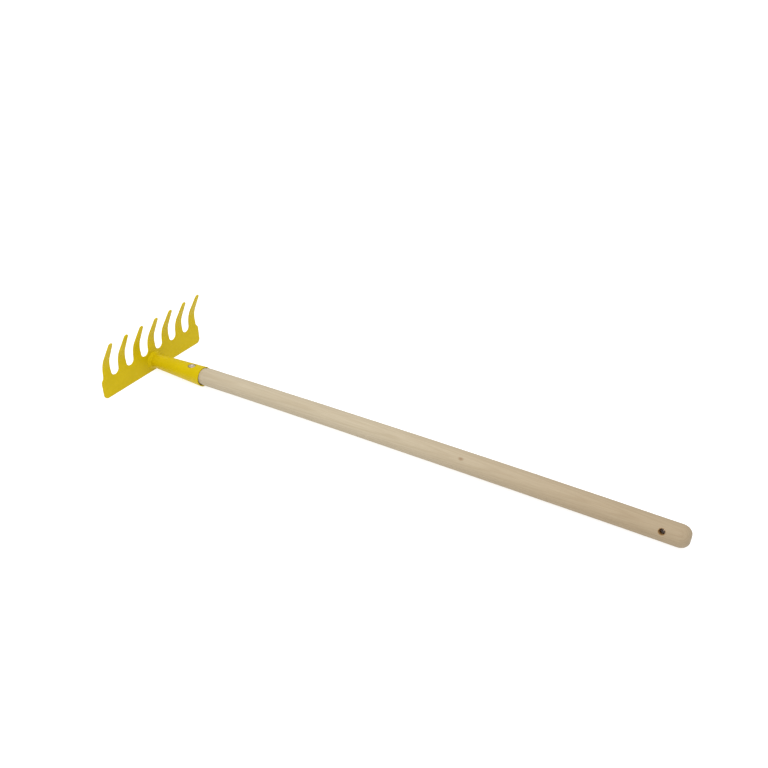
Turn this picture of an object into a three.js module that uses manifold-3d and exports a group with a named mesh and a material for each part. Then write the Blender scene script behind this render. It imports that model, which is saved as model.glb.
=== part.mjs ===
// Children's garden rake: a toothed steel plate welded to a rolled steel socket, and a
// wooden handle that one countersunk screw holds in the socket.
//
// Millimetres. In the rake's own frame X runs along the handle, from the plate's middle
// surface to the butt, Y runs along the plate, and Z points to the tooth tips, with Z = 0
// on the handle's axis. At the end the rake is laid on the ground, teeth up, on the
// plate's lower edge and the butt, with the origin at the bottom centre of its box.

import * as THREE from 'three';
import { mergeVertices } from 'three/addons/utils/BufferGeometryUtils.js';
import Module from 'manifold-3d';

// ---------------------------------------------------------------- driving dimensions

const GAP = 0.3;                    // clearance between touching pieces

const PLATE_WIDTH = 177;
const PLATE_THICKNESS = 2;
const PLATE_BOTTOM_Z = -15.4;
const PLATE_CORNER_RADIUS = 6.5;
const TOOTH_COUNT = 7;
const TOOTH_PITCH = 26;
const TOOTH_TIP_Z = 64.2;
const TOOTH_TIP_RADIUS = 3.05;
const TOOTH_GAP_RADIUS = 6.5;       // round bottom of each gap between two teeth
const TOOTH_GAP_BOTTOM_Z = 10.5;
const BEND_START_Z = 21;            // the sheet is flat below this height
const BEND_RADIUS = 43;
const BEND_ANGLE = THREE.MathUtils.degToRad(27);
const SHOULDER_TOP_Z = 15.5;        // where an outer tooth starts to flare to the bar's end
const SHOULDER_BOTTOM_Z = 6.5;

const SOCKET_START_X = PLATE_THICKNESS / 2 + GAP;
const SOCKET_RIM_X = 85.8;
const SOCKET_START_RADIUS = 9;
const SOCKET_RIM_RADIUS = 12.8;
const SOCKET_WALL = 1.3;
const SOCKET_AXIS_Z = -1;           // the screw pulls the wood up in its loose socket
const SEAM_WIDTH = 1.2;             // open seam along the socket's underside
const WELD_LEG = 3.4;
const WELD_TOE = 0.3;               // blunt edges of the bead

const HANDLE_RADIUS = 11.75;
const HANDLE_TIP_X = 8;
const HANDLE_TIP_RADIUS = 6.5;
const HANDLE_NECK_RADIUS = 10.1;    // wood's radius at the socket's rim
const HANDLE_NECK_X = 85.3;
const HANDLE_FULL_X = 93;           // the wood has its full radius from here to the butt
const BUTT_X = 694.5;
const BUTT_ROUNDING_LENGTH = 8.5;   // the butt's edge is a quarter ellipse
const BUTT_ROUNDING_DEPTH = 6.8;
const HANGING_HOLE_X = 668;
const HANGING_HOLE_RADIUS = 3.15;
const HANGING_HOLE_TILT = THREE.MathUtils.degToRad(26);   // out of the horizontal

const SCREW_X = 67;
const SCREW_TOP_Z = 9.6;
const SCREW_LENGTH = 16;
const SCREW_HEAD_RADIUS = 4;
const SCREW_SHANK_RADIUS = 1.8;
const SCREW_LIP = 0.3;              // straight rim of the head
const DIMPLE_WALL = 1.2;            // sheet pressed in round the screw's head
const RECESS_WIDTH = 0.9;
const RECESS_SPAN = 4.4;
const RECESS_DEPTH = 1.5;
const RECESS_TURN = THREE.MathUtils.degToRad(36);

const ROUND_SEGMENTS = 48;
const SCREW_SEGMENTS = 32;
const ARC_SEGMENTS = 10;
const EDGE_SEGMENTS = 6;

// ------------------------------------------------------------------------- materials

const yellowCoat = () => new THREE.MeshStandardMaterial({
  color: '#d8bc12', roughness: 0.42, metalness: 0,
});
const paleWood = new THREE.MeshStandardMaterial({
  color: '#d3c2a2', roughness: 0.7, metalness: 0,
});
const zincPlate = new THREE.MeshStandardMaterial({
  color: '#a9a49c', roughness: 0.35, metalness: 0.9,
});

// -------------------------------------------------------------------- solid geometry

const wasm = await Module();
wasm.setup();

function toSolid(geometry) {
  const bare = geometry.clone();
  bare.deleteAttribute('normal');
  bare.deleteAttribute('uv');
  const welded = mergeVertices(bare, 1e-4);
  return new wasm.Manifold(new wasm.Mesh({
    numProp: 3,
    vertProperties: new Float32Array(welded.attributes.position.array),
    triVerts: new Uint32Array(welded.index.array),
  }));
}

function toGeometry(solid) {
  const mesh = solid.getMesh();
  const geometry = new THREE.BufferGeometry();
  geometry.setAttribute('position', new THREE.BufferAttribute(mesh.vertProperties, 3));
  geometry.setIndex(new THREE.BufferAttribute(mesh.triVerts, 1));
  return geometry;
}

// A body of revolution about X, from [x, radius] points that close on themselves or
// start and end on the axis.
function turnedAboutX(points) {
  const profile = points.map(([x, radius]) => new THREE.Vector2(radius, x));
  return new THREE.LatheGeometry(profile, ROUND_SEGMENTS).rotateZ(-Math.PI / 2);
}

// A body of revolution about the screw's vertical axis, from [z, radius] points.
function turnedAboutScrew(points) {
  const profile = points.map(([z, radius]) => new THREE.Vector2(radius, z));
  return new THREE.LatheGeometry(profile, SCREW_SEGMENTS)
    .rotateX(Math.PI / 2)
    .translate(SCREW_X, 0, 0);
}

function alongCurve(curve) {
  return curve.getPoints(EDGE_SEGMENTS).map((point) => [point.x, point.y]);
}

function namedMesh(name, geometry, material) {
  const mesh = new THREE.Mesh(geometry, material);
  mesh.name = name;
  return mesh;
}

// --------------------------------------------------------------------- toothed plate

// The sheet seen from its end: flat bar, bend, and straight teeth leaning to the handle.
function bentStrip() {
  const half = PLATE_THICKNESS / 2;
  const bendEnd = Math.PI - BEND_ANGLE;
  const overrun = TOOTH_TIP_Z;      // the tooth outline trims this spare length
  const along = new THREE.Vector2(Math.sin(BEND_ANGLE), Math.cos(BEND_ANGLE));
  const tip = (radius) => [
    BEND_RADIUS + radius * Math.cos(bendEnd) + overrun * along.x,
    BEND_START_Z + radius * Math.sin(bendEnd) + overrun * along.y,
  ];
  const outer = BEND_RADIUS + half;
  const inner = BEND_RADIUS - half;
  const side = new THREE.Shape();
  side.moveTo(half, PLATE_BOTTOM_Z - 1);
  side.lineTo(half, BEND_START_Z);
  side.absarc(BEND_RADIUS, BEND_START_Z, inner, Math.PI, bendEnd, true);
  side.lineTo(...tip(inner));
  side.lineTo(...tip(outer));
  side.absarc(BEND_RADIUS, BEND_START_Z, outer, bendEnd, Math.PI, false);
  side.lineTo(-half, PLATE_BOTTOM_Z - 1);
  const depth = PLATE_WIDTH + 2;
  return new THREE.ExtrudeGeometry(side, { depth, bevelEnabled: false, curveSegments: ARC_SEGMENTS })
    .rotateX(Math.PI / 2)
    .translate(0, depth / 2, 0);
}

// The plate seen along the handle: a bar with round lower corners and tapered teeth.
function toothOutline() {
  const halfWidth = PLATE_WIDTH / 2;
  const corner = PLATE_CORNER_RADIUS;
  const cornerZ = PLATE_BOTTOM_Z + corner;
  const tipZ = TOOTH_TIP_Z - TOOTH_TIP_RADIUS;
  const rootZ = TOOTH_GAP_BOTTOM_Z + TOOTH_GAP_RADIUS;
  const rootHalf = TOOTH_PITCH / 2 - TOOTH_GAP_RADIUS;
  const outerTooth = TOOTH_PITCH * (TOOTH_COUNT - 1) / 2;
  const shoulderY = outerTooth + rootHalf;
  const shoulderPull = (SHOULDER_TOP_Z - SHOULDER_BOTTOM_Z) / 2;

  const outline = new THREE.Shape();
  outline.absarc(-halfWidth + corner, cornerZ, corner, Math.PI, 1.5 * Math.PI, false);
  outline.absarc(halfWidth - corner, cornerZ, corner, 1.5 * Math.PI, 2 * Math.PI, false);
  outline.lineTo(halfWidth, SHOULDER_BOTTOM_Z);
  outline.bezierCurveTo(
    halfWidth, SHOULDER_BOTTOM_Z + shoulderPull,
    shoulderY, SHOULDER_TOP_Z - shoulderPull,
    shoulderY, SHOULDER_TOP_Z,
  );
  for (let tooth = TOOTH_COUNT - 1; tooth >= 0; tooth -= 1) {
    const centre = (tooth - (TOOTH_COUNT - 1) / 2) * TOOTH_PITCH;
    outline.absarc(centre, tipZ, TOOTH_TIP_RADIUS, 0, Math.PI, false);
    if (tooth > 0) {
      const gapCentre = centre - TOOTH_PITCH / 2;
      outline.absarc(gapCentre, rootZ, TOOTH_GAP_RADIUS, 0, -Math.PI, true);
    }
  }
  outline.lineTo(-shoulderY, SHOULDER_TOP_Z);
  outline.bezierCurveTo(
    -shoulderY, SHOULDER_TOP_Z - shoulderPull,
    -halfWidth, SHOULDER_BOTTOM_Z + shoulderPull,
    -halfWidth, SHOULDER_BOTTOM_Z,
  );

  const depth = 2 * TOOTH_TIP_Z;
  const alongHandle = new THREE.Matrix4().makeBasis(
    new THREE.Vector3(0, 1, 0), new THREE.Vector3(0, 0, 1), new THREE.Vector3(1, 0, 0),
  );
  return new THREE.ExtrudeGeometry(outline, { depth, bevelEnabled: false, curveSegments: ARC_SEGMENTS })
    .translate(0, 0, -depth / 2)
    .applyMatrix4(alongHandle);
}

function rakePlate() {
  const solid = toSolid(bentStrip()).intersect(toSolid(toothOutline()));
  return namedMesh('rake_plate', toGeometry(solid), yellowCoat());
}

// -------------------------------------------------------------------- socket and weld

function onSocketAxis(geometry) {
  return geometry.translate(0, 0, SOCKET_AXIS_Z);
}

const dimpleTopZ = SCREW_TOP_Z + SCREW_HEAD_RADIUS;
const dimpleBottomZ = SCREW_TOP_Z - SCREW_HEAD_RADIUS;

// The shape of the screw's shank and 90 degree head, grown by `offset` on every side and
// carried on upwards.
function dimpleCone(offset, bottomZ) {
  const apexZ = SCREW_TOP_Z - SCREW_LIP - SCREW_HEAD_RADIUS - offset * Math.SQRT2;
  const shankRadius = SCREW_SHANK_RADIUS + offset;
  return turnedAboutScrew([
    [bottomZ, 0],
    [bottomZ, shankRadius],
    [apexZ + shankRadius, shankRadius],
    [dimpleTopZ, dimpleTopZ - apexZ],
    [dimpleTopZ, 0],
  ]);
}

function handleSocket() {
  const wall = turnedAboutX([
    [SOCKET_START_X, SOCKET_START_RADIUS],
    [SOCKET_RIM_X, SOCKET_RIM_RADIUS],
    [SOCKET_RIM_X, SOCKET_RIM_RADIUS - SOCKET_WALL],
    [SOCKET_START_X, SOCKET_START_RADIUS - SOCKET_WALL],
    [SOCKET_START_X, SOCKET_START_RADIUS],
  ]);
  const core = turnedAboutX([
    [SOCKET_START_X, 0],
    [SOCKET_START_X, SOCKET_START_RADIUS],
    [SOCKET_RIM_X, SOCKET_RIM_RADIUS],
    [SOCKET_RIM_X, 0],
  ]);
  const seam = new THREE.BoxGeometry(2 * SOCKET_RIM_X, SEAM_WIDTH, SOCKET_RIM_RADIUS)
    .translate(SOCKET_RIM_X, 0, -SOCKET_RIM_RADIUS);
  const dimple = toSolid(dimpleCone(GAP + DIMPLE_WALL, dimpleBottomZ))
    .intersect(toSolid(onSocketAxis(core)));
  const solid = toSolid(onSocketAxis(wall))
    .add(dimple)
    .subtract(toSolid(dimpleCone(GAP, dimpleBottomZ - GAP)))
    .subtract(toSolid(onSocketAxis(seam)));
  return namedMesh('handle_socket', toGeometry(solid), yellowCoat());
}

// A fillet bead with a slightly hollow face, round the socket's small end.
function socketWeld() {
  const inner = SOCKET_START_RADIUS + 2 * GAP;
  const face = new THREE.QuadraticBezierCurve(
    new THREE.Vector2(SOCKET_START_X, inner + WELD_LEG),
    new THREE.Vector2(SOCKET_START_X + WELD_LEG / 3, inner + WELD_LEG / 3),
    new THREE.Vector2(SOCKET_START_X + WELD_LEG, inner + WELD_TOE),
  );
  const bead = turnedAboutX([
    [SOCKET_START_X, inner],
    ...alongCurve(face),
    [SOCKET_START_X + WELD_LEG, inner],
    [SOCKET_START_X, inner],
  ]);
  return namedMesh('socket_weld', onSocketAxis(bead), yellowCoat());
}

// ----------------------------------------------------------------- handle and screw

// Tapered end, flare to the full thickness just outside the socket, and rounded butt.
function handleProfile() {
  const flareLength = HANDLE_FULL_X - HANDLE_NECK_X;
  const flare = new THREE.CubicBezierCurve(
    new THREE.Vector2(HANDLE_NECK_X, HANDLE_NECK_RADIUS),
    new THREE.Vector2(HANDLE_NECK_X + flareLength / 3, HANDLE_NECK_RADIUS),
    new THREE.Vector2(HANDLE_FULL_X - flareLength / 2, HANDLE_RADIUS),
    new THREE.Vector2(HANDLE_FULL_X, HANDLE_RADIUS),
  );
  const buttEdge = new THREE.EllipseCurve(
    BUTT_X - BUTT_ROUNDING_LENGTH, HANDLE_RADIUS - BUTT_ROUNDING_DEPTH,
    BUTT_ROUNDING_LENGTH, BUTT_ROUNDING_DEPTH,
    Math.PI / 2, 0, true,
  );
  return [
    [HANDLE_TIP_X, 0],
    [HANDLE_TIP_X, HANDLE_TIP_RADIUS],
    ...alongCurve(flare),
    ...alongCurve(buttEdge),
    [BUTT_X, 0],
  ];
}

function woodHandle() {
  const hangingHole = new THREE.CylinderGeometry(
    HANGING_HOLE_RADIUS, HANGING_HOLE_RADIUS, 4 * HANDLE_RADIUS, SCREW_SEGMENTS,
  )
    .rotateX(-HANGING_HOLE_TILT)
    .translate(HANGING_HOLE_X, 0, 0);
  const pilotHole = turnedAboutScrew([
    [SCREW_TOP_Z - SCREW_LENGTH - GAP, 0],
    [SCREW_TOP_Z - SCREW_LENGTH - GAP, SCREW_SHANK_RADIUS + GAP],
    [SCREW_TOP_Z, SCREW_SHANK_RADIUS + GAP],
    [SCREW_TOP_Z, 0],
  ]);
  const dimpleSeat = dimpleCone(2 * GAP + DIMPLE_WALL, dimpleBottomZ - GAP);
  const solid = toSolid(turnedAboutX(handleProfile()))
    .subtract(toSolid(hangingHole))
    .subtract(toSolid(pilotHole))
    .subtract(toSolid(dimpleSeat));
  return namedMesh('wood_handle', toGeometry(solid), paleWood);
}

function socketScrew() {
  const tipZ = SCREW_TOP_Z - SCREW_LENGTH;
  const lipZ = SCREW_TOP_Z - SCREW_LIP;
  const neckZ = lipZ - (SCREW_HEAD_RADIUS - SCREW_SHANK_RADIUS);
  const blank = turnedAboutScrew([
    [tipZ, 0],
    [tipZ + 2 * SCREW_SHANK_RADIUS, SCREW_SHANK_RADIUS],
    [neckZ, SCREW_SHANK_RADIUS],
    [lipZ, SCREW_HEAD_RADIUS],
    [SCREW_TOP_Z, SCREW_HEAD_RADIUS],
    [SCREW_TOP_Z, 0],
  ]);
  let solid = toSolid(blank);
  for (const quarter of [0, Math.PI / 2]) {
    const slot = new THREE.BoxGeometry(RECESS_SPAN, RECESS_WIDTH, 2 * RECESS_DEPTH)
      .rotateZ(RECESS_TURN + quarter)
      .translate(SCREW_X, 0, SCREW_TOP_Z);
    solid = solid.subtract(toSolid(slot));
  }
  return namedMesh('socket_screw', toGeometry(solid), zincPlate);
}

// -------------------------------------------------------------------------- assembly

const rake = new THREE.Group();
rake.add(rakePlate(), handleSocket(), socketWeld(), woodHandle(), socketScrew());

// The plate reaches lower than the round handle, so the handle sinks to the butt.
const restDrop = -PLATE_BOTTOM_Z - HANDLE_RADIUS;
const restSpan = BUTT_X - BUTT_ROUNDING_LENGTH - PLATE_THICKNESS / 2;
rake.rotation.y = Math.atan2(restDrop, restSpan);

const group = new THREE.Group();
group.add(rake);
const box = new THREE.Box3().setFromObject(group, true);
const centre = box.getCenter(new THREE.Vector3());
rake.position.set(-centre.x, -centre.y, -box.min.z);
group.updateMatrixWorld(true);

export default group;
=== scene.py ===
import math

import bmesh
import bpy
from mathutils import Matrix, Vector, noise


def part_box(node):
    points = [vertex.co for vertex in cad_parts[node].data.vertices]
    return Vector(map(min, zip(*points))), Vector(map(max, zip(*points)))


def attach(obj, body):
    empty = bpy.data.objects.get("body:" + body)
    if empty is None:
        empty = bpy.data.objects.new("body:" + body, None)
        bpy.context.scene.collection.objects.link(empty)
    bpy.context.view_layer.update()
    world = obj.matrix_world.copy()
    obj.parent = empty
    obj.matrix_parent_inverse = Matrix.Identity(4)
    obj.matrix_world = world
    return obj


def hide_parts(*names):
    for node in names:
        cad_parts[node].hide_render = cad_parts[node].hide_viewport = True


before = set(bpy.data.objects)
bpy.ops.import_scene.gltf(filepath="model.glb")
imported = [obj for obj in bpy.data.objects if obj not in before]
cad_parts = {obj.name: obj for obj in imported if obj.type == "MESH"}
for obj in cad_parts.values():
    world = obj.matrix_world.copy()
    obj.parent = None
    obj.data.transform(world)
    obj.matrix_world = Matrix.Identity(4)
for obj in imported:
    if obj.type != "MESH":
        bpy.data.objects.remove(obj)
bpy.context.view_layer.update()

# A children's garden rake on a pale studio floor. The meshes are made in millimetres in
# the rake's own frame: X runs along the handle from the plate's middle surface to the
# butt, Y along the plate, Z to the tooth tips, and Z = 0 is the handle's axis. PLACE then
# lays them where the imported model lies, in metres.

MM = 0.001

# ---------------------------------------------------------------- sizes, in millimetres

PLATE_WIDTH = 177.0
PLATE_THICKNESS = 2.0
PLATE_BOTTOM_Z = -15.4
PLATE_CORNER_RADIUS = 6.5
PLATE_EDGE_RADIUS = 0.6
TOOTH_COUNT = 7
TOOTH_PITCH = 26.0
TOOTH_TIP_Z = 64.2
TOOTH_TIP_RADIUS = 3.05
TOOTH_GAP_RADIUS = 6.5
TOOTH_GAP_BOTTOM_Z = 10.5
BEND_START_Z = 21.0           # the sheet is flat below this height
BEND_RADIUS = 43.0
BEND_ANGLE = math.radians(27.0)
BEND_TOP_Z = BEND_START_Z + BEND_RADIUS * math.sin(BEND_ANGLE)
BEND_STEPS = 18
SHOULDER_TOP_Z = 15.5         # where an outer tooth starts to flare to the bar's end
SHOULDER_BOTTOM_Z = 6.5

GAP_TO_PLATE = 0.3
SOCKET_START_X = PLATE_THICKNESS / 2 + GAP_TO_PLATE
SOCKET_RIM_X = 85.8
SOCKET_START_RADIUS = 9.0
SOCKET_RIM_RADIUS = 12.8
SOCKET_WALL = 1.3
SOCKET_EDGE_RADIUS = 0.3
SOCKET_AXIS_Z = -1.0          # the screw pulls the wood up in its loose socket
SOCKET_ROWS = 150
SOCKET_COLUMNS = 132
SEAM_WIDTH = 1.2              # open seam along the socket's underside
SEAM_FLARE = 0.7              # the seam's corners stand proud at the rim
SEAM_FLARE_LENGTH = 16.0
SEAM_FLARE_SHARE = 0.09       # of the way round, on each side of the seam

WELD_LEG = 3.4
WELD_UNEVEN = 0.7             # the leg's change along the bead
WELD_SUNK = 0.35              # the bead is fused into the plate and the socket
WELD_HOLLOW = (0.62, 0.15)    # how far its face curves in, as shares of the leg
WELD_RIPPLE = 0.14
WELD_RIPPLES = 38
WELD_RIPPLE_DRIFT = 0.5       # unevenness of the ripples' spacing, in radians
WELD_CRESCENT = 0.10          # turn between a ripple's middle and its ends, in radians
WELD_SEGMENTS = 312
WELD_STEPS = 10

HANDLE_RADIUS = 11.75
HANDLE_TIP_X = 8.0
HANDLE_TIP_RADIUS = 6.5
HANDLE_NECK_X = 85.3
HANDLE_NECK_RADIUS = 10.35
HANDLE_NECK_ASIDE = 0.4       # the stick sits to one side in its socket
HANDLE_FULL_X = 93.0          # the wood has its full radius from here to the butt
HANDLE_BOW = 1.9              # the stick arches this much between the socket and the butt
HANDLE_SWELL = 0.3            # and is this much thicker or thinner than its mean radius
HANDLE_SWELL_PEAK = 0.69      # thickest at this share of its length
HANDLE_SANDING = 0.09         # depth that uneven sanding has taken off
HANDLE_SANDING_LENGTH = 20.0  # over which it fades in from either end
HANDLE_SEGMENTS = 96
BUTT_X = 694.5
BUTT_REST_X = 686.0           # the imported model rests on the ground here
BUTT_ROUNDING_LENGTH = 10.5
BUTT_ROUNDING_DEPTH = 8.2
HANGING_HOLE_X = 668.0
HANGING_HOLE_RADIUS = 3.15
HANGING_HOLE_LIP = 0.6        # softened edge where the drill went in and came out
HANGING_HOLE_TILT = math.radians(27.0)
HANGING_HOLE_WANDER = 0.06    # the drill drifted towards the butt on its way through
KNOT_X = 451.0
KNOT_ANGLE = math.radians(133.0)

SCREW_X = 67.0
SCREW_TOP_Z = 9.1
SCREW_LENGTH = 16.0
SCREW_HEAD_RADIUS = 4.0
SCREW_LIP = 0.3
SCREW_CORE_RADIUS = 1.35
SCREW_THREAD_RADIUS = 1.8
SCREW_TIP_Z = SCREW_TOP_Z - SCREW_LENGTH
SCREW_NECK_Z = SCREW_TOP_Z - SCREW_LIP - (SCREW_HEAD_RADIUS - SCREW_THREAD_RADIUS)
THREAD_TOP_Z = SCREW_NECK_Z - 1.0
SCREW_POINT_RADIUS = 0.12
SCREW_POINT_LENGTH = 3.5
SCREW_RUNOUT_LENGTH = 1.2     # over which the thread fades out under the head
SCREW_PITCH = 1.6
SCREW_SEGMENTS = 48
RINGS_PER_TURN = 12
CREST_STEEPNESS = 3.2         # the thread's crest is 2 / 3.2 of a turn wide
RECESS_SPAN = 4.4
RECESS_WIDTH = 0.9
RECESS_DEPTH = 1.7
RECESS_TURN = math.radians(36.0)
SCREW_HOLE_RADIUS = 2.1       # through the socket's sheet
DIMPLE_CLEARANCE = 0.3
DIMPLE_BLEND = 0.8            # rounding between the dimple and the socket's surface
DIMPLE_REACH = 2.2            # the dimple has faded out this many head radii from the screw

# -------------------------------------------------------- camera and studio, in metres

CAMERA_LENS = 41.25           # in millimetres, as is the sensor's width
CAMERA_SENSOR = 36.0
CAMERA_PLACE = Vector((0.4272, -0.7071, 0.5793))
CAMERA_AIM = Vector((-0.43958, 0.73515, -0.51607))
CAMERA_ROLL = math.radians(-0.451)

FLOOR_REACH = 40.0
TOP_LIGHT_PLACE = Vector((0.05, -0.45, 1.15))
TOP_LIGHT_AIM = Vector((-0.05, 0.0, 0.0))
TOP_LIGHT_SIZE = 0.7
TOP_LIGHT_POWER = 9.8
WALLS_STRENGTH = 0.72         # the tent is darker at the horizon than overhead
CEILING_STRENGTH = 1.15


# ------------------------------------------------------------------------ small helpers

def lerp(a, b, t):
    return a + (b - a) * t


def spread(start, end, steps):
    """steps + 1 values from start to end."""
    return [lerp(start, end, i / steps) for i in range(steps + 1)]


def smooth(t):
    """0 below t = 0 and 1 above t = 1, with a soft step between."""
    t = min(max(t, 0.0), 1.0)
    return t * t * (3.0 - 2.0 * t)


def arc(centre_a, centre_b, radius_a, radius_b, start, end, steps):
    """Points on an ellipse's arc from the angle start to the angle end."""
    return [
        (centre_a + radius_a * math.cos(angle), centre_b + radius_b * math.sin(angle))
        for angle in spread(start, end, steps)
    ]


def bezier(p0, p1, p2, p3, steps):
    """Points on the cubic curve from p0 to p3."""
    points = []
    for t in spread(0.0, 1.0, steps):
        s = 1.0 - t
        weights = (s * s * s, 3 * s * s * t, 3 * s * t * t, t * t * t)
        points.append(tuple(
            sum(w * p[k] for w, p in zip(weights, (p0, p1, p2, p3))) for k in range(2)
        ))
    return points


def wobble(x, y, z, size):
    """Smooth noise in -1..1 that changes over about `size` millimetres."""
    return noise.noise(Vector((x, y, z)) / size)


def new_mesh(name, vertices, faces):
    """A mesh of these points and faces, with its faces pointing out."""
    mesh = bpy.data.meshes.new(name)
    mesh.from_pydata([tuple(v) for v in vertices], [], faces)
    bm = bmesh.new()
    bm.from_mesh(mesh)
    bmesh.ops.recalc_face_normals(bm, faces=bm.faces)
    bm.to_mesh(mesh)
    bm.free()
    return mesh


def grid_faces(rows, columns, wrap_rows=False, wrap_columns=False):
    """Four-sided faces between points that lie row after row."""
    faces = []
    for r in range(rows if wrap_rows else rows - 1):
        next_r = (r + 1) % rows
        for c in range(columns if wrap_columns else columns - 1):
            next_c = (c + 1) % columns
            faces.append((
                r * columns + c, r * columns + next_c,
                next_r * columns + next_c, next_r * columns + c,
            ))
    return faces


def turned(name, profile, segments, to_point, wobbled=None):
    """A closed body of revolution from (along, radius) points, with flat or pointed ends."""
    vertices = []
    for along, radius in profile:
        for k in range(segments):
            angle = 2.0 * math.pi * k / segments
            r = radius + (wobbled(along, angle) if wobbled else 0.0)
            vertices.append(to_point(along, r * math.cos(angle), r * math.sin(angle)))
    faces = grid_faces(len(profile), segments, wrap_columns=True)
    for row in (0, len(profile) - 1):
        faces.append(tuple(row * segments + k for k in range(segments)))
    return new_mesh(name, vertices, faces)


def applied(piece):
    """Gives the piece the mesh that its modifiers make, and removes them."""
    depsgraph = bpy.context.evaluated_depsgraph_get()
    mesh = bpy.data.meshes.new_from_object(piece.evaluated_get(depsgraph), depsgraph=depsgraph)
    piece.modifiers.clear()
    piece.data = mesh


def linked(name, data):
    """A new object in the scene."""
    piece = bpy.data.objects.new(name, data)
    bpy.context.scene.collection.objects.link(piece)
    return piece


def cut_away(piece, cutter_mesh):
    """Cuts the closed cutter out of the piece."""
    cutter = linked("cutter", cutter_mesh)
    modifier = piece.modifiers.new("cut", "BOOLEAN")
    modifier.operation = "DIFFERENCE"
    modifier.solver = "EXACT"
    modifier.object = cutter
    bpy.context.view_layer.update()
    applied(piece)
    bpy.data.objects.remove(cutter)


def smooth_shaded(mesh, sharp_angle):
    mesh.shade_smooth()
    mesh.set_sharp_from_angle(angle=sharp_angle)


def placed(piece, node, material):
    """Lays a finished piece in the row frame, in place of its CAD node."""
    piece.data.transform(PLACE)
    piece.data.materials.clear()
    piece.data.materials.append(material)
    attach(piece, "root")
    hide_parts(node)


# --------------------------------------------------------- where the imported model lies

# The rake rests on the plate's front bottom corner and on the handle's last straight bit.
LAY_ANGLE = math.atan2(-PLATE_BOTTOM_Z - HANDLE_RADIUS, BUTT_REST_X - PLATE_THICKNESS / 2)
turn = Matrix.Rotation(LAY_ANGLE, 4, "Y")
plate_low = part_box("rake_plate")[0]
back_corner = turn @ Vector((-PLATE_THICKNESS / 2, 0.0, PLATE_BOTTOM_Z)) * MM
front_corner = turn @ Vector((PLATE_THICKNESS / 2, 0.0, PLATE_BOTTOM_Z)) * MM
PLACE = (
    Matrix.Translation((plate_low.x - back_corner.x, 0.0, plate_low.z - front_corner.z))
    @ turn
    @ Matrix.Scale(MM, 4)
)


# --------------------------------------------------------------------------- materials

class Shader:
    """A material's node tree, built by short calls."""

    MIX_A, MIX_B, MIX_RESULT = 6, 7, 2     # a Mix node's colour sockets

    def __init__(self, name):
        self.material = bpy.data.materials.new(name)
        self.material.use_nodes = True
        self.nodes = self.material.node_tree.nodes
        self.links = self.material.node_tree.links
        self.surface = self.nodes["Principled BSDF"]
        self.place = self.nodes.new("ShaderNodeTexCoord").outputs["Object"]

    def put(self, socket, value):
        """Links an output to the socket, or sets the socket to a constant."""
        if isinstance(value, bpy.types.NodeSocket):
            self.links.new(value, socket)
        else:
            socket.default_value = value

    def mapped(self, vector, offset=(0, 0, 0), rotation=(0, 0, 0), scale=(1, 1, 1)):
        node = self.nodes.new("ShaderNodeMapping")
        self.put(node.inputs["Vector"], vector)
        node.inputs["Location"].default_value = offset
        node.inputs["Rotation"].default_value = rotation
        node.inputs["Scale"].default_value = scale
        return node.outputs["Vector"]

    def noise(self, vector, scale, detail=3.0, roughness=0.5):
        node = self.nodes.new("ShaderNodeTexNoise")
        self.put(node.inputs["Vector"], vector)
        node.inputs["Scale"].default_value = scale
        node.inputs["Detail"].default_value = detail
        node.inputs["Roughness"].default_value = roughness
        return node.outputs["Fac"]

    def math(self, operation, a, b=0.0, c=0.0):
        node = self.nodes.new("ShaderNodeMath")
        node.operation = operation
        for socket, value in zip(node.inputs, (a, b, c)):
            self.put(socket, value)
        return node.outputs["Value"]

    def vector(self, operation, a, b=(0, 0, 0)):
        node = self.nodes.new("ShaderNodeVectorMath")
        node.operation = operation
        self.put(node.inputs[0], a)
        self.put(node.inputs[1], b)
        return node.outputs["Value" if operation in ("LENGTH", "DISTANCE") else "Vector"]

    def axis(self, vector, name):
        node = self.nodes.new("ShaderNodeSeparateXYZ")
        self.put(node.inputs["Vector"], vector)
        return node.outputs[name]

    def ranged(self, value, from_min, from_max, to_min, to_max, kind="LINEAR"):
        """Takes from_min..from_max to to_min..to_max, and holds the ends beyond them."""
        node = self.nodes.new("ShaderNodeMapRange")
        node.interpolation_type = kind
        for socket, number in zip(node.inputs, (value, from_min, from_max, to_min, to_max)):
            self.put(socket, number)
        return node.outputs["Result"]

    def mixed(self, factor, a, b, blend="MIX"):
        node = self.nodes.new("ShaderNodeMix")
        node.data_type = "RGBA"
        node.blend_type = blend
        self.put(node.inputs["Factor"], factor)
        self.put(node.inputs[self.MIX_A], a)
        self.put(node.inputs[self.MIX_B], b)
        return node.outputs[self.MIX_RESULT]

    def bump(self, height, strength, distance):
        node = self.nodes.new("ShaderNodeBump")
        self.put(node.inputs["Height"], height)
        node.inputs["Strength"].default_value = strength
        node.inputs["Distance"].default_value = distance
        self.put(self.surface.inputs["Normal"], node.outputs["Normal"])


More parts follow.
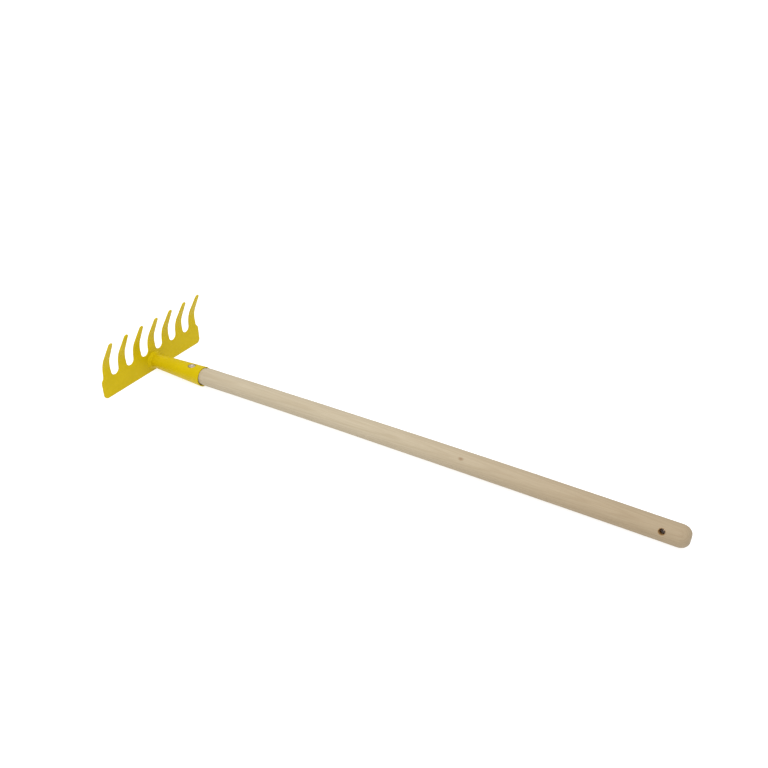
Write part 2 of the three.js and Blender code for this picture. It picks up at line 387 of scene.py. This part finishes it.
def yellow_powder_coat():
    s = Shader("yellow_powder_coat")
    shaded_yellow = (0.46, 0.340, 0.002, 1)
    bright_yellow = (0.50, 0.370, 0.002, 1)
    thick_yellow = (0.41, 0.31, 0.002, 1)
    cloud = s.noise(s.place, 45.0, detail=2.0)
    thickness = s.noise(s.place, 260.0, detail=2.0)
    peel = s.noise(s.place, 900.0, detail=1.0)
    colour = s.mixed(s.ranged(cloud, 0.3, 0.7, 0.0, 1.0), shaded_yellow, bright_yellow)
    colour = s.mixed(s.ranged(thickness, 0.35, 0.75, 0.0, 0.35), colour, thick_yellow)
    colour = scuffed_at_the_tips(s, colour, thickness)
    # Painted shade: a grey ring round the screw's head stands in for the shade in its pressed
    # dimple.
    colour = shaded_round_the_screw(s, colour, peel)
    s.put(s.surface.inputs["Base Color"], colour)
    s.put(s.surface.inputs["Roughness"], s.ranged(thickness, 0.3, 0.7, 0.40, 0.50))
    height = s.math("MULTIPLY_ADD", thickness, 0.6, s.math("MULTIPLY", peel, 0.4))
    s.bump(height, 0.35, 0.00012)
    s.surface.inputs["Specular IOR Level"].default_value = 0.2
    s.surface.inputs["Specular Tint"].default_value = (1.0, 0.8, 0.05, 1.0)
    return s.material


def scuffed_at_the_tips(s, colour, thickness):
    """The coat, a little scuffed on the last few millimetres of the teeth."""
    dull_yellow = (0.30, 0.25, 0.12, 1)
    start_z, full_z = 0.0795, 0.0835
    ragged_z = s.math("MULTIPLY_ADD", thickness, 0.006, s.axis(s.place, "Z"))
    scuffed = s.ranged(ragged_z, start_z, full_z, 0.0, 0.12)
    return s.mixed(scuffed, colour, dull_yellow)


def shaded_round_the_screw(s, colour, peel):
    """Painted shade: the coat darkened to grey in a ring round the screw's head, standing in for
    the shade in the pressed dimple.
    """
    dimple_shade_grey = (0.13, 0.115, 0.10, 1)
    shade_radius, unshaded_radius = 0.0046, 0.0060
    head_place = PLACE @ Vector((SCREW_X, 0.0, SCREW_TOP_Z - SCREW_LIP))
    from_head = s.vector("LENGTH", s.vector("SUBTRACT", s.place, head_place))
    ragged = s.math("MULTIPLY_ADD", peel, 0.0006, from_head)
    shade_mask = s.ranged(ragged, shade_radius, unshaded_radius, 1.0, 0.0, kind="SMOOTHSTEP")
    return s.mixed(s.math("MULTIPLY", shade_mask, 0.6), colour, dimple_shade_grey)


def pale_wood():
    s = Shader("pale_wood")
    pale = (0.409, 0.349, 0.249, 1)
    tan = (0.322, 0.259, 0.171, 1)
    light_streak = (0.434, 0.376, 0.281, 1)
    warm_cloud = (0.361, 0.293, 0.199, 1)
    dark_fibre = (0.292, 0.232, 0.150, 1)
    latewood = growth_rings(s)
    fibre = s.noise(s.mapped(s.place, scale=(30.0, 1500.0, 1500.0)), 1.0, roughness=0.6)
    streak = s.noise(s.mapped(s.place, scale=(9.0, 260.0, 260.0)), 1.0, detail=2.0)
    cloud = s.noise(s.mapped(s.place, scale=(5.0, 25.0, 25.0)), 1.0, detail=2.0)
    colour = s.mixed(s.ranged(latewood, 0.0, 1.0, 0.05, 0.45), pale, tan)
    colour = s.mixed(s.ranged(streak, 0.35, 0.7, 0.0, 0.35), colour, light_streak)
    colour = s.mixed(s.ranged(cloud, 0.35, 0.7, 0.0, 0.25), colour, warm_cloud)
    colour = s.mixed(s.ranged(fibre, 0.42, 0.75, 0.0, 0.45), colour, dark_fibre)
    # Darker and warmer along the handle away from the head.
    colour = darker_away_from_head(s, colour)
    colour = with_knot(s, colour)
    # The hole's wall: end grain's darker tone together with painted shade inside the hole.
    colour = with_bored_hole(s, colour)
    s.put(s.surface.inputs["Base Color"], colour)
    s.put(s.surface.inputs["Roughness"], s.ranged(fibre, 0.3, 0.7, 0.58, 0.74))
    height = s.math("MULTIPLY_ADD", fibre, 0.7, s.math("MULTIPLY", latewood, 0.3))
    s.bump(height, 0.30, 0.00012)
    s.surface.inputs["Specular IOR Level"].default_value = 0.22
    return s.material


def growth_rings(s):
    """1 on the dark lines of the rings and 0 between them.

    The stick was cut beside the tree's heart: its rings are wide arcs about a far, slightly
    turned axis, so they show as long slanting lines along the handle.
    """
    ring_width = 0.0021
    warp = s.noise(s.mapped(s.place, scale=(6.0, 40.0, 40.0)), 1.0, detail=2.0)
    shifted = s.mapped(s.place, offset=(0.0, 0.026, -0.043), rotation=(0.0, 0.012, 0.019))
    flat = s.vector("MULTIPLY", shifted, (0.0, 1.0, 1.0))
    distance = s.math("MULTIPLY_ADD", warp, 0.0035, s.vector("LENGTH", flat))
    phase = s.math("MULTIPLY", distance, 2.0 * math.pi / ring_width)
    ring = s.ranged(s.math("SINE", phase), -1.0, 1.0, 0.0, 1.0)
    return s.math("POWER", ring, 3.0)


def darker_away_from_head(s, colour):
    """The wood, growing darker and warmer along the handle away from the head, and evenly dark
    over its far part.
    """
    darkening_tint = (0.84, 0.78, 0.72, 1)
    fade_start_x, dark_x = -0.05, 0.30
    head_distance_mask = s.ranged(s.axis(s.place, "X"), fade_start_x, dark_x, 0.0, 1.0, kind="SMOOTHSTEP")
    return s.mixed(head_distance_mask, colour, s.mixed(1.0, colour, darkening_tint, "MULTIPLY"))


def with_knot(s, colour):
    """The wood with its one small knot, which is longer along the grain."""
    knot_brown = (0.20, 0.12, 0.06, 1)
    core_radius, knot_radius = 0.0004, 0.0027
    place = PLACE @ Vector((
        KNOT_X,
        HANDLE_RADIUS * math.cos(KNOT_ANGLE),
        HANDLE_RADIUS * math.sin(KNOT_ANGLE) + bow(KNOT_X),
    ))
    to_knot = s.vector("SUBTRACT", s.place, place)
    reach = s.vector("LENGTH", s.vector("MULTIPLY", to_knot, (0.6, 1.0, 1.0)))
    knot = s.ranged(reach, core_radius, knot_radius, 0.7, 0.0, kind="SMOOTHSTEP")
    return s.mixed(knot, colour, knot_brown)


def with_bored_hole(s, colour):
    """The wood with its hanging hole's wall painted dark brown: partly the drilled end grain's own
    darker tone, partly painted shade inside the hole.
    """
    end_grain_and_shade = (0.27, 0.145, 0.045, 1)
    wall_radius, fade_radius = 0.0031, 0.0042
    centre = PLACE @ Vector((
        HANGING_HOLE_X + HANGING_HOLE_WANDER * HANDLE_RADIUS, 0.0, bow(HANGING_HOLE_X),
    ))
    axis = Vector((
        HANGING_HOLE_WANDER, math.cos(HANGING_HOLE_TILT), -math.sin(HANGING_HOLE_TILT),
    )).normalized()
    from_centre = s.vector("SUBTRACT", s.place, centre)
    from_axis = s.vector("LENGTH", s.vector("CROSS_PRODUCT", from_centre, axis))
    wall = s.ranged(from_axis, wall_radius, fade_radius, 1.0, 0.0, kind="SMOOTHSTEP")
    return s.mixed(s.math("MULTIPLY", wall, 0.9), colour, end_grain_and_shade)


def zinc_plate():
    s = Shader("zinc_plate")
    bright_zinc = (0.56, 0.49, 0.45, 1)
    dull_zinc = (0.43, 0.37, 0.34, 1)
    stain = s.noise(s.place, 700.0)
    grain = s.noise(s.place, 3500.0, detail=2.0)
    colour = s.mixed(s.ranged(stain, 0.35, 0.7, 0.0, 1.0), bright_zinc, dull_zinc)
    s.put(s.surface.inputs["Base Color"], colour)
    s.put(s.surface.inputs["Roughness"], s.ranged(grain, 0.3, 0.7, 0.38, 0.55))
    s.surface.inputs["Metallic"].default_value = 0.85
    s.bump(grain, 0.2, 0.00003)
    return s.material


def studio_floor():
    """A light table's sheet, which glows by itself and so shows almost no shadow."""
    s = Shader("studio_floor")
    grey = (0.40, 0.40, 0.40, 1)
    light_grey = (0.42, 0.42, 0.418, 1)
    tone = s.noise(s.place, 2.0, detail=1.0)
    colour = s.mixed(s.ranged(tone, 0.3, 0.7, 0.0, 1.0), grey, light_grey)
    s.put(s.surface.inputs["Base Color"], colour)
    s.surface.inputs["Emission Color"].default_value = (1.0, 1.0, 1.0, 1.0)
    s.surface.inputs["Emission Strength"].default_value = 0.80
    s.surface.inputs["Roughness"].default_value = 0.9
    s.surface.inputs["Specular IOR Level"].default_value = 0.1
    return s.material


# ----------------------------------------------------------------------- toothed plate

def tooth_outline():
    """The flat plate's outline as (y, height) points, anticlockwise."""
    half_width = PLATE_WIDTH / 2
    corner = PLATE_CORNER_RADIUS
    corner_z = PLATE_BOTTOM_Z + corner
    tip_z = TOOTH_TIP_Z - TOOTH_TIP_RADIUS
    root_z = TOOTH_GAP_BOTTOM_Z + TOOTH_GAP_RADIUS
    root_half = TOOTH_PITCH / 2 - TOOTH_GAP_RADIUS
    shoulder_y = TOOTH_PITCH * (TOOTH_COUNT - 1) / 2 + root_half
    middle_z = (SHOULDER_TOP_Z + SHOULDER_BOTTOM_Z) / 2
    shoulder = bezier(
        (half_width, SHOULDER_BOTTOM_Z), (half_width, middle_z),
        (shoulder_y, middle_z), (shoulder_y, SHOULDER_TOP_Z), 14,
    )
    quarter = math.pi / 2
    outline = arc(corner - half_width, corner_z, corner, corner, 2 * quarter, 3 * quarter, 12)
    outline += arc(half_width - corner, corner_z, corner, corner, -quarter, 0.0, 12)
    outline += shoulder
    for tooth in reversed(range(TOOTH_COUNT)):
        centre = (tooth - (TOOTH_COUNT - 1) / 2) * TOOTH_PITCH
        outline += arc(centre, tip_z, TOOTH_TIP_RADIUS, TOOTH_TIP_RADIUS, 0.0, math.pi, 16)
        if tooth > 0:
            outline += arc(
                centre - TOOTH_PITCH / 2, root_z, TOOTH_GAP_RADIUS, TOOTH_GAP_RADIUS,
                0.0, -math.pi, 22,
            )
    outline += [(-y, z) for y, z in reversed(shoulder)]
    return outline


def bent(y, height, off_middle):
    """The point of the bent sheet at this height, off_middle in front of its middle surface."""
    rise = min(max((height - BEND_START_Z) / BEND_RADIUS, 0.0), math.sin(BEND_ANGLE))
    lean = math.asin(rise)
    above_bend = max(height - BEND_TOP_Z, 0.0)
    x = BEND_RADIUS * (1.0 - math.cos(lean)) + above_bend * math.tan(BEND_ANGLE)
    return Vector((x + off_middle * math.cos(lean), y, height - off_middle * math.sin(lean)))


def flat_blank():
    """The sheet before bending: the filled outline with its edges rounded."""
    curve = bpy.data.curves.new("plate_outline", "CURVE")
    curve.dimensions = "2D"
    curve.fill_mode = "BOTH"
    curve.extrude = PLATE_THICKNESS / 2 - PLATE_EDGE_RADIUS
    curve.bevel_depth = PLATE_EDGE_RADIUS
    curve.bevel_resolution = 3
    curve.offset = -PLATE_EDGE_RADIUS
    outline = tooth_outline()
    spline = curve.splines.new("POLY")
    spline.points.add(len(outline) - 1)
    for point, (y, height) in zip(spline.points, outline):
        point.co = (y, height, 0.0, 1.0)
    spline.use_cyclic_u = True
    blank = linked("plate_blank", curve)
    bpy.context.view_layer.update()
    depsgraph = bpy.context.evaluated_depsgraph_get()
    mesh = bpy.data.meshes.new_from_object(blank.evaluated_get(depsgraph), depsgraph=depsgraph)
    bpy.data.objects.remove(blank)
    return mesh


def toothed_plate(material):
    bm = bmesh.new()
    bm.from_mesh(flat_blank())
    bmesh.ops.remove_doubles(bm, verts=bm.verts, dist=0.001)
    for height in spread(BEND_START_Z, BEND_TOP_Z, BEND_STEPS):
        everything = [*bm.verts, *bm.edges, *bm.faces]
        bmesh.ops.bisect_plane(bm, geom=everything, plane_co=(0, height, 0), plane_no=(0, 1, 0))
    for vertex in bm.verts:
        y, height, off_middle = vertex.co
        vertex.co = bent(y, height, off_middle)
    bmesh.ops.triangulate(bm, faces=[f for f in bm.faces if len(f.verts) > 4])
    bmesh.ops.recalc_face_normals(bm, faces=bm.faces)
    mesh = bpy.data.meshes.new("toothed_plate")
    bm.to_mesh(mesh)
    bm.free()
    mesh.shade_smooth()
    piece = linked("toothed_plate", mesh)
    piece.modifiers.new("flat_faces", "WEIGHTED_NORMAL").weight = 100
    placed(piece, "rake_plate", material)


# --------------------------------------------------------------------- rolled socket

def socket_radius(x):
    along = (x - SOCKET_START_X) / (SOCKET_RIM_X - SOCKET_START_X)
    return lerp(SOCKET_START_RADIUS, SOCKET_RIM_RADIUS, along)


def dimple_cone_height(from_screw):
    """Height of the pressed-in cone, `from_screw` away from the screw's axis."""
    apex = SCREW_TOP_Z - SCREW_LIP - SCREW_HEAD_RADIUS - DIMPLE_CLEARANCE * math.sqrt(2.0)
    return apex + from_screw


def socket_point(x, share):
    """Outer surface at x, where share runs from 0 to 1 round the roll, from seam to seam."""
    radius = socket_radius(x)
    half_seam = SEAM_WIDTH / 2 / radius
    angle = lerp(half_seam, 2.0 * math.pi - half_seam, share)
    seam_near = smooth(1.0 - min(share, 1.0 - share) / SEAM_FLARE_SHARE)
    rim_near = smooth(1.0 - (SOCKET_RIM_X - x) / SEAM_FLARE_LENGTH)
    radius += SEAM_FLARE * seam_near * rim_near
    y = radius * math.sin(angle)
    z = SOCKET_AXIS_Z - radius * math.cos(angle)
    if z > 0.0:
        from_screw = math.hypot(x - SCREW_X, y)
        over_cone = z - dimple_cone_height(from_screw)
        sunk = (over_cone + math.sqrt(over_cone * over_cone + DIMPLE_BLEND ** 2)) / 2
        fade = smooth((DIMPLE_REACH * SCREW_HEAD_RADIUS - from_screw) / SCREW_HEAD_RADIUS)
        z -= sunk * fade
    return Vector((x, y, z))


def punch_screw_hole(bm):
    """Opens the sheet at the dimple's middle and rounds the hole's edge."""
    def from_screw(vertex):
        return math.hypot(vertex.co.x - SCREW_X, vertex.co.y)

    inside = [
        f for f in bm.faces
        if f.calc_center_median().z > 0.0 and min(map(from_screw, f.verts)) < SCREW_HOLE_RADIUS
    ]
    bmesh.ops.delete(bm, geom=inside, context="FACES")
    for vertex in bm.verts:
        if vertex.is_boundary and vertex.co.z > 0.0 and from_screw(vertex) < 2 * SCREW_HOLE_RADIUS:
            grow = SCREW_HOLE_RADIUS / from_screw(vertex)
            vertex.co.x = SCREW_X + (vertex.co.x - SCREW_X) * grow
            vertex.co.y *= grow
            vertex.co.z = dimple_cone_height(SCREW_HOLE_RADIUS)


def rolled_socket(material):
    rows = spread(SOCKET_START_X, SOCKET_RIM_X, SOCKET_ROWS)
    shares = spread(0.0, 1.0, SOCKET_COLUMNS)
    vertices = [socket_point(x, share) for x in rows for share in shares]
    mesh = new_mesh("rolled_socket", vertices, grid_faces(len(rows), len(shares)))
    bm = bmesh.new()
    bm.from_mesh(mesh)
    punch_screw_hole(bm)
    bmesh.ops.recalc_face_normals(bm, faces=bm.faces)
    outward = sum(f.normal.dot(f.calc_center_median().normalized()) for f in bm.faces)
    if outward < 0:
        bmesh.ops.reverse_faces(bm, faces=bm.faces)
    bm.to_mesh(mesh)
    bm.free()

    piece = linked("rolled_socket", mesh)
    wall = piece.modifiers.new("wall", "SOLIDIFY")
    wall.thickness = SOCKET_WALL
    wall.offset = -1.0
    wall.use_even_offset = True
    edge = piece.modifiers.new("edge", "BEVEL")
    edge.width = SOCKET_EDGE_RADIUS
    edge.segments = 3
    edge.limit_method = "ANGLE"
    edge.angle_limit = math.radians(50.0)
    applied(piece)
    smooth_shaded(piece.data, math.radians(60.0))
    piece.data.name = "rolled_socket"
    placed(piece, "handle_socket", material)


# ------------------------------------------------------------------------- weld bead

def weld_section(angle):
    """The bead's section at this angle round the socket, as (x, radius) points."""
    east, north = math.cos(angle) * SOCKET_START_RADIUS, math.sin(angle) * SOCKET_START_RADIUS
    drift = WELD_RIPPLE_DRIFT * wobble(east, north, 20.0, 5.0)
    leg = WELD_LEG + WELD_UNEVEN * wobble(east, north, 3.0, 6.0)
    far, near = WELD_HOLLOW
    face = bezier(
        (PLATE_THICKNESS / 2 - WELD_SUNK, SOCKET_START_RADIUS + leg + WELD_SUNK),
        (SOCKET_START_X + near * leg, SOCKET_START_RADIUS + far * leg),
        (SOCKET_START_X + far * leg, SOCKET_START_RADIUS + near * leg),
        (SOCKET_START_X + leg + WELD_SUNK, SOCKET_START_RADIUS),
        WELD_STEPS,
    )
    rippled = []
    for i, (x, radius) in enumerate(face):
        middle = math.sin(math.pi * i / WELD_STEPS)
        phase = (angle + WELD_CRESCENT * middle) * WELD_RIPPLES / 2 + drift
        swell = WELD_RIPPLE * abs(math.sin(phase)) * middle
        rippled.append((x + swell, radius + swell))
    inner = SOCKET_START_RADIUS - WELD_SUNK
    return rippled + [(SOCKET_START_X + leg, inner), (PLATE_THICKNESS / 2 - WELD_SUNK, inner)]


def weld_bead(material):
    vertices = []
    for k in range(WELD_SEGMENTS):
        angle = 2.0 * math.pi * k / WELD_SEGMENTS
        for x, radius in weld_section(angle):
            y = radius * math.sin(angle)
            vertices.append((x, y, SOCKET_AXIS_Z + radius * math.cos(angle)))
    columns = len(vertices) // WELD_SEGMENTS
    faces = grid_faces(WELD_SEGMENTS, columns, wrap_rows=True, wrap_columns=True)
    mesh = new_mesh("weld_bead", vertices, faces)
    smooth_shaded(mesh, math.radians(55.0))
    placed(linked("weld_bead", mesh), "socket_weld", material)


# -------------------------------------------------------------------- wooden handle

def handle_profile():
    """The straight stick's outline from its tip to its butt, as (x, radius) points."""
    def taper_radius(x):
        share = (x - HANDLE_TIP_X) / (HANDLE_NECK_X - HANDLE_TIP_X)
        return lerp(HANDLE_TIP_RADIUS, HANDLE_NECK_RADIUS, share)

    taper = [(x, taper_radius(x)) for x in spread(HANDLE_TIP_X, HANDLE_NECK_X, 16)]
    flare = bezier(
        (HANDLE_NECK_X, HANDLE_NECK_RADIUS),
        (lerp(HANDLE_NECK_X, HANDLE_FULL_X, 1 / 3), HANDLE_NECK_RADIUS),
        (lerp(HANDLE_NECK_X, HANDLE_FULL_X, 1 / 2), HANDLE_RADIUS),
        (HANDLE_FULL_X, HANDLE_RADIUS), 10,
    )
    rounding_x = BUTT_X - BUTT_ROUNDING_LENGTH
    shaft = [(x, HANDLE_RADIUS) for x in spread(HANDLE_FULL_X, rounding_x, 150)]
    flat_radius = HANDLE_RADIUS - BUTT_ROUNDING_DEPTH
    butt = arc(
        rounding_x, flat_radius, BUTT_ROUNDING_LENGTH, BUTT_ROUNDING_DEPTH, math.pi / 2, 0.0, 12,
    )
    flat = [(BUTT_X, flat_radius * share) for share in (0.66, 0.33, 0.1)]
    return taper[:-1] + flare[:-1] + shaft[:-1] + butt + flat


def bow(x):
    """How far the stick's middle arches up at x."""
    share = max((x - SOCKET_RIM_X) / (BUTT_X - SOCKET_RIM_X), 0.0)
    return HANDLE_BOW * 4.0 * share * (1.0 - share)


def sanding(x, angle):
    """What the stick's radius gains or loses here by its slow swell and its uneven sanding."""
    share = (x - HANDLE_NECK_X) / (BUTT_X - HANDLE_NECK_X)
    swell = -HANDLE_SWELL * math.cos(math.pi * share / HANDLE_SWELL_PEAK)
    in_flare = smooth((x - HANDLE_NECK_X) / (HANDLE_FULL_X - HANDLE_NECK_X))
    from_ends = min(x - HANDLE_FULL_X, BUTT_X - BUTT_ROUNDING_LENGTH - x)
    uneven = 0.5 + wobble(x * 0.25, math.cos(angle) * 10, math.sin(angle) * 10, 9.0)
    return swell * in_flare - HANDLE_SANDING * uneven * smooth(from_ends / HANDLE_SANDING_LENGTH)


def hanging_hole():
    """The drill's path as a cutter: slanted down, and drifting towards the butt."""
    reach = HANDLE_RADIUS
    lip = HANGING_HOLE_LIP
    lip_radius = HANGING_HOLE_RADIUS + 1.2 * lip
    cos_tilt, sin_tilt = math.cos(HANGING_HOLE_TILT), math.sin(HANGING_HOLE_TILT)

    def drilled(along, a, b):
        drift = HANGING_HOLE_WANDER * (along + reach)
        y = along * cos_tilt + b * sin_tilt
        return Vector((HANGING_HOLE_X + a + drift, y, b * cos_tilt - along * sin_tilt))

    bore = [
        (-2 * reach, lip_radius), (-reach - lip, lip_radius), (-reach + lip, HANGING_HOLE_RADIUS),
        (reach - lip, HANGING_HOLE_RADIUS), (reach + lip, lip_radius), (2 * reach, lip_radius),
    ]
    return turned("hole", bore, 64, drilled)


def on_handle_axis(x, a, b):
    return Vector((x, a, b))


def on_screw_axis(z, a, b):
    return Vector((SCREW_X + a, b, z))


def screw_seat():
    """The cutter for the screw's hole and for the hollow that the dimple is pressed into."""
    apex = dimple_cone_height(0.0) - (SOCKET_WALL + DIMPLE_CLEARANCE) * math.sqrt(2.0)
    pilot_radius = SCREW_THREAD_RADIUS + 0.1
    pilot_end_z = SCREW_TIP_Z - 0.5
    pilot_top_z, cone_bottom_z, cone_top_z = 4.0, 4.1, 14.0
    seat = [
        (pilot_end_z, pilot_radius), (pilot_top_z, pilot_radius),
        (cone_bottom_z, cone_bottom_z - apex), (cone_top_z, cone_top_z - apex),
    ]
    return turned("seat", seat, SCREW_SEGMENTS, on_screw_axis)


def wooden_handle(material):
    stick = turned("wooden_handle", handle_profile(), HANDLE_SEGMENTS, on_handle_axis, sanding)
    piece = linked("wooden_handle", stick)
    cut_away(piece, hanging_hole())
    cut_away(piece, screw_seat())
    for vertex in piece.data.vertices:
        in_socket = smooth((HANDLE_FULL_X - vertex.co.x) / (HANDLE_FULL_X - HANDLE_NECK_X))
        vertex.co.y -= HANDLE_NECK_ASIDE * in_socket
        vertex.co.z += bow(vertex.co.x)
    smooth_shaded(piece.data, math.radians(35.0))
    piece.data.name = "wooden_handle"
    placed(piece, "wood_handle", material)


# ---------------------------------------------------------------------------- screw

def screw_profile():
    """The screw without its thread, from its point to its flat top, as (z, radius) points."""
    rings = int((THREAD_TOP_Z - SCREW_TIP_Z) / SCREW_PITCH * RINGS_PER_TURN)
    shank = []
    for z in spread(SCREW_TIP_Z, THREAD_TOP_Z, rings):
        tapered = smooth((z - SCREW_TIP_Z) / SCREW_POINT_LENGTH)
        thickened = 1.0 - smooth((THREAD_TOP_Z - z) / SCREW_RUNOUT_LENGTH)
        core = lerp(SCREW_POINT_RADIUS, SCREW_CORE_RADIUS, tapered)
        shank.append((z, core + thickened * (SCREW_THREAD_RADIUS - SCREW_CORE_RADIUS)))
    return shank + [
        (SCREW_NECK_Z - 0.4, SCREW_THREAD_RADIUS),
        (SCREW_NECK_Z, SCREW_THREAD_RADIUS + 0.1),
        (SCREW_TOP_Z - SCREW_LIP, SCREW_HEAD_RADIUS - 0.05),
        (SCREW_TOP_Z - 0.12, SCREW_HEAD_RADIUS),
        (SCREW_TOP_Z - 0.02, SCREW_HEAD_RADIUS - 0.12),
        (SCREW_TOP_Z, SCREW_HEAD_RADIUS - 0.3),
    ]


def thread(z, angle):
    """How far the thread stands out of the shank here."""
    into_turn = (z / SCREW_PITCH - angle / (2.0 * math.pi)) % 1.0
    crest = max(0.0, 1.0 - abs(into_turn - 0.5) * CREST_STEEPNESS)
    tapered = smooth((z - SCREW_TIP_Z) / SCREW_POINT_LENGTH)
    runout = smooth((THREAD_TOP_Z - z) / SCREW_RUNOUT_LENGTH)
    return tapered * runout * crest * (SCREW_THREAD_RADIUS - SCREW_CORE_RADIUS)


def cross_head_screw(material):
    body = turned("cross_head_screw", screw_profile(), SCREW_SEGMENTS, on_screw_axis, thread)
    piece = linked("cross_head_screw", body)
    for quarter in (0.0, math.pi / 2):
        cut_away(piece, recess_blade(RECESS_TURN + quarter))
    smooth_shaded(piece.data, math.radians(30.0))
    piece.data.name = "cross_head_screw"
    placed(piece, "socket_screw", material)


def recess_blade(angle):
    """One wing pair of the cross recess: a flat blade that narrows to its point."""
    turn_blade = Matrix.Rotation(angle, 3, "Z")
    # Each level's height, and its span and width as shares of those at the screw's top.
    bottom = (SCREW_TOP_Z - RECESS_DEPTH, 0.35, 0.55)
    middle = (SCREW_TOP_Z, 1.0, 1.0)
    top = (SCREW_TOP_Z + 1.0, 1.3, 1.1)
    vertices = []
    for z, span_share, width_share in (bottom, middle, top):
        a = RECESS_SPAN / 2 * span_share
        b = RECESS_WIDTH / 2 * width_share
        for x, y in ((-a, -b), (a, -b), (a, b), (-a, b)):
            vertices.append(turn_blade @ Vector((x, y, 0.0)) + Vector((SCREW_X, 0.0, z)))
    faces = grid_faces(3, 4, wrap_columns=True) + [(0, 1, 2, 3), (8, 9, 10, 11)]
    return new_mesh("blade", vertices, faces)


# ----------------------------------------------------------------------- the studio

def add_floor():
    reach = FLOOR_REACH
    corners = [(-reach, -reach, 0), (reach, -reach, 0), (reach, reach, 0), (-reach, reach, 0)]
    mesh = new_mesh("floor", corners, [(0, 1, 2, 3)])
    mesh.materials.append(studio_floor())
    floor = linked("floor", mesh)


def add_top_light():
    light = bpy.data.lights.new("top", "AREA")
    light.shape = "SQUARE"
    light.size = TOP_LIGHT_SIZE
    light.energy = TOP_LIGHT_POWER
    lamp = linked("top", light)
    lamp.location = TOP_LIGHT_PLACE
    lamp.rotation_mode = "QUATERNION"
    lamp.rotation_quaternion = (TOP_LIGHT_AIM - TOP_LIGHT_PLACE).to_track_quat("-Z", "Y")


def add_tent():
    """A white light tent all round, brighter overhead."""
    world = bpy.data.worlds.new("studio")
    world.use_nodes = True
    nodes, links = world.node_tree.nodes, world.node_tree.links
    background = nodes["Background"]
    background.inputs["Color"].default_value = (1.0, 1.0, 1.0, 1.0)
    direction = nodes.new("ShaderNodeTexCoord")
    upward = nodes.new("ShaderNodeSeparateXYZ")
    strength = nodes.new("ShaderNodeMapRange")
    strength.inputs["To Min"].default_value = WALLS_STRENGTH
    strength.inputs["To Max"].default_value = CEILING_STRENGTH
    links.new(direction.outputs["Generated"], upward.inputs["Vector"])
    links.new(upward.outputs["Z"], strength.inputs["Value"])
    links.new(strength.outputs["Result"], background.inputs["Strength"])
    bpy.context.scene.world = world
    bpy.context.scene.view_settings.view_transform = "Standard"


def add_camera():
    camera = bpy.data.cameras.new("camera")
    camera.lens = CAMERA_LENS
    camera.sensor_width = CAMERA_SENSOR
    camera.clip_start = 0.05
    camera.clip_end = 50.0
    viewer = linked("camera", camera)
    viewer.location = CAMERA_PLACE
    viewer.rotation_mode = "QUATERNION"
    aim = CAMERA_AIM.to_track_quat("-Z", "Y")
    viewer.rotation_quaternion = aim @ Matrix.Rotation(CAMERA_ROLL, 3, "Z").to_quaternion()
    bpy.context.scene.camera = viewer


# ---------------------------------------------------------------------- put together

coat = yellow_powder_coat()
toothed_plate(coat)
rolled_socket(coat)
weld_bead(coat)
wooden_handle(pale_wood())
cross_head_screw(zinc_plate())
add_floor()
add_top_light()
add_tent()
add_camera()
